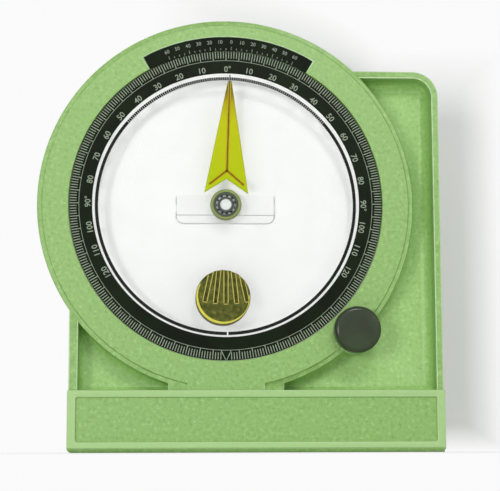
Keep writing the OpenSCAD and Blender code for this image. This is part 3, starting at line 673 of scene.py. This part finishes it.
class INCLINE_OT_housing(Operator):
    """Painted cast housing and rear cover with rounded edges, paler there from rubbed paint and a
    painted highlight
    """
    bl_idname = "incline.housing"
    bl_label = "Housing"

    def execute(self, context):
        dressed("body", "housing", "paint", "paint_edge", bevel=0.4, convex=True, chamfers=13.5)
        dressed("rear_cover", "cover", "paint", "paint_edge", bevel=0.3)
        dressed("cover_screws", "cover_screw_heads", "screw", bevel=0.12)
        return {"FINISHED"}


class INCLINE_OT_degree_ring(Operator):
    """Black degree ring with its ticks, line, numerals and lower mark"""
    bl_idname = "incline.degree_ring"
    bl_label = "Degree ring"

    def execute(self, context):
        s = context.scene.scale_sizes
        dressed("dial_ring", "degree_ring", "ring_black", bevel=0.15, shadow=False)
        outer = RING_R - 0.15 * MM
        ring = ("dial", "black_ring", "print")
        tick_fan("degree_ticks", *ring, 357, 182 * DEGREE, DEGREE, s.tick_radius, outer,
                 s.tick_width, RING_FRONT)
        tick_fan("five_degree_ticks", *ring, 71, 185 * DEGREE, 5 * DEGREE, s.line_radius,
                 s.tick_radius, s.tick_width, RING_FRONT)
        shape = bmesh.new()
        arc_plate(shape, s.line_radius - 0.1 * MM, s.line_radius + 0.1 * MM, 0, 2 * math.pi,
                  RING_FRONT - PRINT_T, RING_FRONT, 360)
        for side in (-1, 1):
            bar_plate(shape, around(s.line_radius, (180 + 2 * side) * DEGREE, 0),
                      around(outer, (180 + 0.2 * side) * DEGREE, 0), 0.3 * MM,
                      RING_FRONT - PRINT_T, RING_FRONT)
        piece("ring_line_and_mark", closed("ring_line_and_mark", shape), *ring)
        shape = bmesh.new()
        for side in (-1, 1):
            for value in range(10, LAST_NUMBER + 1, 10):
                text = str(value) + ("°" if value == 90 else "")
                add_numeral(shape, text, s.numeral_size, s.numeral_radius, side * value * DEGREE,
                            RING_FRONT, 0.03 * MM)
        add_numeral(shape, "0°", s.numeral_size, s.numeral_radius, 0, RING_FRONT, 0.03 * MM)
        piece("degree_numerals", to_mesh("degree_numerals", shape), *ring)
        return {"FINISHED"}


class INCLINE_OT_vernier(Operator):
    """Black vernier plate with its fine scale and numerals"""
    bl_idname = "incline.vernier"
    bl_label = "Vernier plate"

    def execute(self, context):
        s = context.scene.scale_sizes
        dressed("vernier_plate", "vernier", "plate_black", bevel=0.08)
        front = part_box("vernier_plate")[0].y
        inner = RING_R + 0.3 * MM
        plate = ("root", "black_scale", "vernier_print")
        short, long, width = inner + 0.9 * MM, inner + 1.5 * MM, 0.2 * MM
        first = s.vernier_zero - 12 * s.vernier_step
        tick_fan("vernier_ticks", *plate, 25, first, s.vernier_step, inner, short, width, front)
        tick_fan("vernier_long_ticks", *plate, 7, first, 4 * s.vernier_step, short, long, width,
                 front)
        shape = bmesh.new()
        for step in range(-6, 7):
            add_numeral(shape, str(abs(step) * 10), 2.1 * MM, 66.7 * MM,
                        s.vernier_zero + 2 * step * s.vernier_step, front, 0.02 * MM)
        piece("vernier_numerals", to_mesh("vernier_numerals", shape), *plate)
        return {"FINISHED"}


class INCLINE_OT_comb_ring(Operator):
    """White inner ring with its black comb scale"""
    bl_idname = "incline.comb_ring"
    bl_label = "Comb ring"

    def execute(self, context):
        half = context.scene.scale_sizes.comb_half
        comb = ("dial", "white_scale", "comb_print")
        dressed("comb_scale_ring", "comb_ring", "white_scale", bevel=0.05, shadow=False)
        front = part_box("hairline_wire")[1].y + 0.3 * MM
        tick_fan("comb_teeth", *comb, 2 * half + 1, -half * DEGREE, DEGREE, TOOTH_IN, TOOTH_OUT,
                 0.78 * MM, front)
        shape = bmesh.new()
        side, foot, gap = half + 0.4, 179.3, 0.35
        for start, end in ((side, foot - gap), (foot + gap, 360 - side)):
            arc_plate(shape, TOOTH_IN, TOOTH_OUT, start * DEGREE, end * DEGREE,
                      front - PRINT_T, front, int(end - start))
        piece("comb_band", closed("comb_band", shape), *comb)
        dressed("window", "window_pane", "window", bevel=0.1, shadow=False)
        return {"FINISHED"}


class INCLINE_OT_dial(Operator):
    """White dial plate with the raised bridge behind the pendulum, painted shade on the bridge's
    rounded edges and a painted shadow line round it
    """
    bl_idname = "incline.dial"
    bl_label = "Dial plate and bridge"

    def execute(self, context):
        dressed("dial_plate", "dial", "white_dial", bevel=0.1)
        # The bridge's rounded edges get a grey finish: painted shade.
        block = dressed("bridge", "raised_bridge", "white_bridge", "bridge_edge", bevel=0.16)
        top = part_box("bridge")[1].z
        for v in block.data.vertices:
            v.co.z = top + (v.co.z - top) * BRIDGE_SQUASH
        # Grey bars on the dial along the bridge's top and down its sides: a painted shadow line
        # round the bridge.
        low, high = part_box("bridge")
        shape = bmesh.new()
        lines = [((low.x + 2 * MM, top), (high.x - 2 * MM, top))]
        for x in (low.x, high.x):
            lines += [((x, top - down * MM), (x, top - (down + 3) * MM)) for down in (0.6, 6.5)]
        for (x1, z1), (x2, z2) in lines:
            bar_plate(shape, Vector((x1, 0, z1)), Vector((x2, 0, z2)), 0.5 * MM,
                      high.y - 0.1 * MM, high.y)
        piece("bridge_painted_shadow", closed("bridge_painted_shadow", shape), "root", SLOTS["bridge"], "bridge_edge")
        dressed("pivot_shaft", "pivot_pin", "shaft", "race", bevel=0.2)
        return {"FINISHED"}


class INCLINE_OT_pendulum(Operator):
    """Clear disc with pointer, hairline, hub and weight on the ball bearing"""
    bl_idname = "incline.pendulum"
    bl_label = "Pendulum"

    def execute(self, context):
        dressed("pendulum_disc", "clear_disc", "disc", bevel=0.1, shadow=False)
        wire = dressed("hairline_wire", "hairline", "wire", shadow=False)
        lacquer = wire.modifiers.new("lacquer", "DISPLACE")
        lacquer.mid_level = 0.0
        lacquer.strength = 0.09 * MM
        dressed("pendulum_hub", "hub_ring", "hub", bevel=0.12, shadow=False)
        dressed("hub_clamp_ring", "hub_clamp", "hub", bevel=0.1)
        dressed("bearing_outer_race", "outer_race", "race", bevel=0.06, shadow=False)
        dressed("bearing_inner_race", "inner_race", "race", bevel=0.06)
        dressed("bearing_balls", "balls", "ball")
        dressed("bearing_cage", "ball_cage_ring", "cage")
        dressed("counterweight", "weight", "weight", shadow=False)
        self.bright_edges()
        self.pointer()
        return {"FINISHED"}

    def bright_edges(self):
        """Painted highlights along the weight's lower rim, widest towards its lower left, and along
        both sides of its five slots.
        """
        low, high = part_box("counterweight")
        centre, radius = (low + high) / 2, (high.x - low.x) / 2
        shape = bmesh.new()
        arc_plate(shape, lambda a: radius - (0.55 + 0.75 * max(0, math.cos(a - 3.8))) * MM,
                  radius - 0.25 * MM, math.radians(85), math.radians(300), low.y - PRINT_T, low.y,
                  120, centre)
        piece("weight_painted_rim_highlight", closed("weight_painted_rim_highlight", shape), "pendulum",
              SLOTS["counterweight"], "weight_rim_highlight")
        shape = bmesh.new()
        for slot in range(-2, 3):
            angle = math.pi - SLOT_STEP * slot
            down = around(1, angle, 0) - around(0, angle, 0)
            side = Vector((down.z, 0, -down.x)) * 0.85 * MM
            foot = around(SLOT_FOOT, angle, 0)
            for edge in (side, -side):
                start = foot + edge - Vector((centre.x, 0, centre.z))
                reach = start.dot(down)
                length = reach + math.sqrt(max(0, reach ** 2 - start.length_squared + radius ** 2))
                bar_plate(shape, foot + edge, foot + edge - down * (length - 0.1 * MM), 0.34 * MM,
                          low.y - PRINT_T, low.y)
            bar_plate(shape, foot + side + down * 0.4 * MM, foot - side + down * 0.4 * MM,
                      0.34 * MM, low.y - PRINT_T, low.y)
        piece("weight_slot_painted_highlights", closed("weight_slot_painted_highlights", shape), "pendulum",
              SLOTS["counterweight"], "slot_highlight")

    def pointer(self):
        """The arrow's own corner places come from its CAD node, so that it hangs as that does."""
        front, back = (corner.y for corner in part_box("pointer"))
        corners = arrow_corners()
        inner = inset(corners, 0.42 * MM)
        shape = bmesh.new()
        rows = [[shape.verts.new((p.x, y, p.z)) for p in ring]
                for ring, y in ((inner, front), (corners, front + 0.3 * MM), (corners, back))]
        shape.faces.new(rows[0])
        # The sloping band round the arrow's front face gets the pale finish: a painted glow of the
        # fluorescent plastic's edges.
        for upper, lower in zip(rows, rows[1:]):
            for i in range(len(corners)):
                k = (i + 1) % len(corners)
                face = shape.faces.new((upper[i], upper[k], lower[k], lower[i]))
                face.material_index = 1 if upper is rows[0] else 0
        shape.faces.new(rows[2][::-1])
        bmesh.ops.triangulate(shape, faces=[f for f in shape.faces if len(f.verts) > 4])
        arrow = piece("arrow", closed("arrow", shape), "pendulum", SLOTS["pointer"],
                      "pointer", "pointer_edge_glow")
        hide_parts("pointer")
        arrow.visible_shadow = False
        tip, notch = (inner[0] + inner[1]) / 2, inner[3]
        up = (tip - notch).normalized()
        fork = notch + up * 2.75 * MM
        ends = [tip] + [notch + (corner - notch) * 0.84 + up * 1.6 * MM
                        for corner in (inner[2], inner[4])]
        for name, ink, width, lift in (("arrow_line_glow", "line_glow", 1.3, 0.5),
                                       ("arrow_lines", "pointer_line", 0.42, 1.0)):
            shape = bmesh.new()
            for end in ends:
                bar_plate(shape, fork, end, width * MM, front - PRINT_T * lift, front + PRINT_T)
            piece(name, closed(name, shape), "pendulum", SLOTS["pointer"], ink)


def arrow_corners():
    """The pointer's outline: two tip corners, right base corner, notch, left base corner."""
    mesh = frame["nodes"]["pointer"].data
    back = max(v.co.y for v in mesh.vertices)
    found = []
    for v in mesh.vertices:
        if v.co.y > back - 0.01 * MM and all((v.co - f).length > 0.01 * MM for f in found):
            found.append(v.co.copy())
    far = sorted(found, key=lambda p: -(p - Vector((AXIS.x, p.y, AXIS.z))).length)
    tips = sorted(far[:2], key=lambda p: p.x)
    left, right = min(found, key=lambda p: p.x), max(found, key=lambda p: p.x)
    notch = next(p for p in found if p not in (*tips, left, right))
    return [*tips, right, notch, left]


def inset(corners, distance):
    """Moves each side of a closed outline inwards by a distance."""
    middle = sum(corners, Vector()) / len(corners)
    count = len(corners)
    lines = []
    for i in range(count):
        a, b = corners[i], corners[(i + 1) % count]
        along = (b - a).normalized()
        inward = Vector((along.z, 0, -along.x))
        lines.append((a + inward * distance, along))
    out = []
    for i in range(count):
        (p, u), (q, v) = lines[i - 1], lines[i]
        cross = u.x * v.z - u.z * v.x
        t = ((q.x - p.x) * v.z - (q.z - p.z) * v.x) / cross
        out.append(p + u * t)
    if (out[0] - middle).length > (corners[0] - middle).length:
        raise ValueError("the pointer's outline runs the wrong way round")
    return out


class INCLINE_OT_knob(Operator):
    """Knob with its bush and washer"""
    bl_idname = "incline.knob"
    bl_label = "Knob"

    def execute(self, context):
        dressed("knob", "knob_cap", "knob", bevel=0.35)
        dressed("front_bush", "knob_bush", "bush", bevel=0.12)
        plain("spring_washer", "spring")
        plain("knob_shaft", "shaft")
        return {"FINISHED"}


class INCLINE_OT_inner_parts(Operator):
    """Finishes of the parts inside the drum"""
    bl_idname = "incline.inner_parts"
    bl_label = "Inner parts"

    def execute(self, context):
        for node, material in (
                ("ring_gear", "gear"), ("pinion", "pinion"), ("retainer_ring", "aluminium"),
                ("spacer_ring", "spacer"), ("bridge_screws", "screw"), ("shaft_nut", "screw"),
                ("rear_bush", "bush"), ("shaft_clip", "spring")):
            plain(node, material)
        return {"FINISHED"}


class INCLINE_OT_stage(Operator):
    """Pale floor, white backdrop with a painted shadow beside the object, soft lamps and the camera
    """
    bl_idname = "incline.stage"
    bl_label = "Stage"

    def execute(self, context):
        scene = context.scene
        s = scene.stage_sizes
        scene.view_settings.view_transform = "Standard"
        self.world(scene)
        wall_y = CAD_BOX[1][1] + WALL_GAP
        floor = self.sheet("floor", Vector((-3, -3, 0)), Vector((6, 0, 0)), Vector((0, 6, 0)),
                           Vector((0.05, 0, 0)), (0.12, 0.20), 0.7, 0.94)
        wall = self.sheet("backdrop", Vector((-3, wall_y, 0)), Vector((6, 0, 0)), Vector((0, 0, 3)),
                          Vector((0, wall_y, AXIS.z)), (0.094, 0.114), 0.02, 0.86, see_through=True)
        for name, place, size, power in (("front_softbox", (0.10, -1.0, 0.55), 0.3, 2.95),
                                         ("left_softbox", (-0.50, -1.05, 0.10), 0.3, 4.2),
                                         ("right_softbox", (0.55, -0.8, 0.35), 0.4, 0.5)):
            self.lamp(name, Vector(place), size, power)
        self.camera(scene, s)
        return {"FINISHED"}

    def world(self, scene):
        """Soft even light, which the camera, gloss and glass see as plain white."""
        world = bpy.data.worlds.new("studio")
        world.use_nodes = True
        nodes, links = world.node_tree.nodes, world.node_tree.links
        shade = nodes["Background"]
        shade.inputs["Color"].default_value = (1, 1, 1, 1)
        shade.inputs["Strength"].default_value = WORLD_LIGHT
        white = nodes.new("ShaderNodeBackground")
        white.inputs["Color"].default_value = (1, 1, 1, 1)
        white.inputs["Strength"].default_value = 1.0
        rays = nodes.new("ShaderNodeLightPath")
        seen = rays.outputs["Is Camera Ray"]
        for ray in ("Is Glossy Ray", "Is Transmission Ray"):
            either = nodes.new("ShaderNodeMath")
            either.operation = "MAXIMUM"
            links.new(seen, either.inputs[0])
            links.new(rays.outputs[ray], either.inputs[1])
            seen = either.outputs[0]
        mix = nodes.new("ShaderNodeMixShader")
        links.new(seen, mix.inputs["Fac"])
        links.new(shade.outputs[0], mix.inputs[1])
        links.new(white.outputs[0], mix.inputs[2])
        links.new(mix.outputs[0], nodes["World Output"].inputs["Surface"])
        scene.world = world

    def sheet(self, name, corner, across, along, middle, reach, glow, tone, see_through=False):
        """A pale sheet of a tone that turns from glow (0 lit, 1 white) to plain white over the
        reach of distances from its middle. A see-through one shows only its front, and only to
        the camera, so that it neither hides nor shades the object. It stays grey behind the
        object's right half alone, in a field a little larger than the object and shaped like
        the object's shadow, and whitens towards its foot: a painted shadow over the lamps' own
        cast shadow."""
        shape = bmesh.new()
        verts = [shape.verts.new(p) for p in (corner, corner + across, corner + across + along,
                                              corner + along)]
        shape.faces.new(verts)
        mesh = to_mesh(name, shape)
        f = Finish(name + "_paint", (tone, tone, tone), 0.7)
        low, high = tone - 0.01, tone + 0.01
        f.link(f.ramp(f.noise(0.4), [(0.3, (low, low, low)), (0.7, (high, high, high))]),
               f.shader, "Base Color")
        away = f.node("ShaderNodeVectorMath", operation="DISTANCE")
        f.links.new(f.place, away.inputs[0])
        away.inputs[1].default_value = middle
        far = f.spread(away.outputs["Value"], glow, 1.0, *reach)
        if see_through:
            # Painted shadow: the backdrop keeps its lit grey only in a field beside the object's
            # right side, shaped like its shadow, and whitens to the left and at its foot; inside
            # the field the grey is the lamps' own cast shadow.
            shadow_field = f.maths("MAXIMUM", f.spread(f.along("X"), glow, 1.0, *WALL_SHADOW_FIELD["right"]),
                              f.spread(f.along("Z"), glow, 1.0, *WALL_SHADOW_FIELD["top"]))
            far = f.maths("MINIMUM", far, shadow_field)
            for axis, side in (("X", "left"), ("Z", "foot")):
                white_to_grey = f.spread(f.along(axis), 1.0, glow, *WALL_SHADOW_FIELD[side])
                far = f.maths("MAXIMUM", far, white_to_grey)
        rays = f.node("ShaderNodeLightPath").outputs
        seen = f.maths("MAXIMUM", rays["Is Camera Ray"],
                       f.maths("MAXIMUM", rays["Is Glossy Ray"], rays["Is Transmission Ray"]))
        white = f.node("ShaderNodeEmission")
        f.set(white, "Strength", SHEET_WHITE)
        surface = self.layer(f, f.maths("MULTIPLY", far, seen), f.shader.outputs[0],
                             white.outputs[0])
        if see_through:
            front = f.maths("SUBTRACT", 1.0, f.node("ShaderNodeNewGeometry").outputs["Backfacing"])
            surface = self.layer(f, f.maths("MULTIPLY", front, rays["Is Camera Ray"]),
                                 f.node("ShaderNodeBsdfTransparent").outputs[0], surface)
        f.link(surface, f.nodes["Material Output"], "Surface")
        mesh.materials.append(f.material)
        obj = bpy.data.objects.new(name, mesh)
        bpy.context.scene.collection.objects.link(obj)
        return obj

    def layer(self, f, factor, below, above):
        mix = f.node("ShaderNodeMixShader")
        f.link(factor, mix, "Fac")
        f.links.new(below, mix.inputs[1])
        f.links.new(above, mix.inputs[2])
        return mix.outputs[0]

    def lamp(self, name, place, size, power):
        data = bpy.data.lights.new(name, "AREA")
        data.shape = "DISK"
        data.size = size
        data.energy = power
        lamp = bpy.data.objects.new(name, data)
        bpy.context.scene.collection.objects.link(lamp)
        lamp.location = place
        aim = Vector((0.01, 0, 0.09)) - place
        lamp.rotation_euler = aim.to_track_quat("-Z", "Y").to_euler()

    def camera(self, scene, s):
        data = bpy.data.cameras.new("camera")
        data.sensor_fit = "HORIZONTAL"
        data.sensor_width = 36
        data.lens = s.lens
        data.clip_start = 0.01
        data.clip_end = 20
        camera = bpy.data.objects.new("camera", data)
        scene.collection.objects.link(camera)
        turn = (Matrix.Rotation(-s.yaw, 4, "Z") @ Matrix.Rotation(math.pi / 2 + s.pitch, 4, "X")
                @ Matrix.Rotation(s.roll, 4, "Z"))
        camera.matrix_world = Matrix.Translation(Vector(s.eye)) @ turn
        scene.camera = camera


class INCLINE_PT_panel(Panel):
    """Lists the steps that dress the inclinometer"""
    bl_idname = "INCLINE_PT_panel"
    bl_label = "Inclinometer"
    bl_space_type = "VIEW_3D"
    bl_region_type = "UI"
    bl_category = "Inclinometer"

    def draw(self, context):
        for step in STEPS:
            self.layout.operator(step.bl_idname)


STEPS = (INCLINE_OT_housing, INCLINE_OT_degree_ring, INCLINE_OT_vernier, INCLINE_OT_comb_ring,
         INCLINE_OT_dial, INCLINE_OT_pendulum, INCLINE_OT_knob, INCLINE_OT_inner_parts,
         INCLINE_OT_stage)
GROUPS = {"scale_sizes": ScaleSizes, "paint_colours": PaintColours, "stage_sizes": StageSizes}


def register():
    for kind in (*GROUPS.values(), *STEPS, INCLINE_PT_panel):
        bpy.utils.register_class(kind)
    for name, kind in GROUPS.items():
        setattr(bpy.types.Scene, name, PointerProperty(type=kind))


def unregister():
    for name in GROUPS:
        delattr(bpy.types.Scene, name)
    for kind in reversed((*GROUPS.values(), *STEPS, INCLINE_PT_panel)):
        bpy.utils.unregister_class(kind)


def main():
    register()
    for step in STEPS:
        group, name = step.bl_idname.split(".")
        getattr(getattr(bpy.ops, group), name)()


if __name__ == "__main__":
    main()
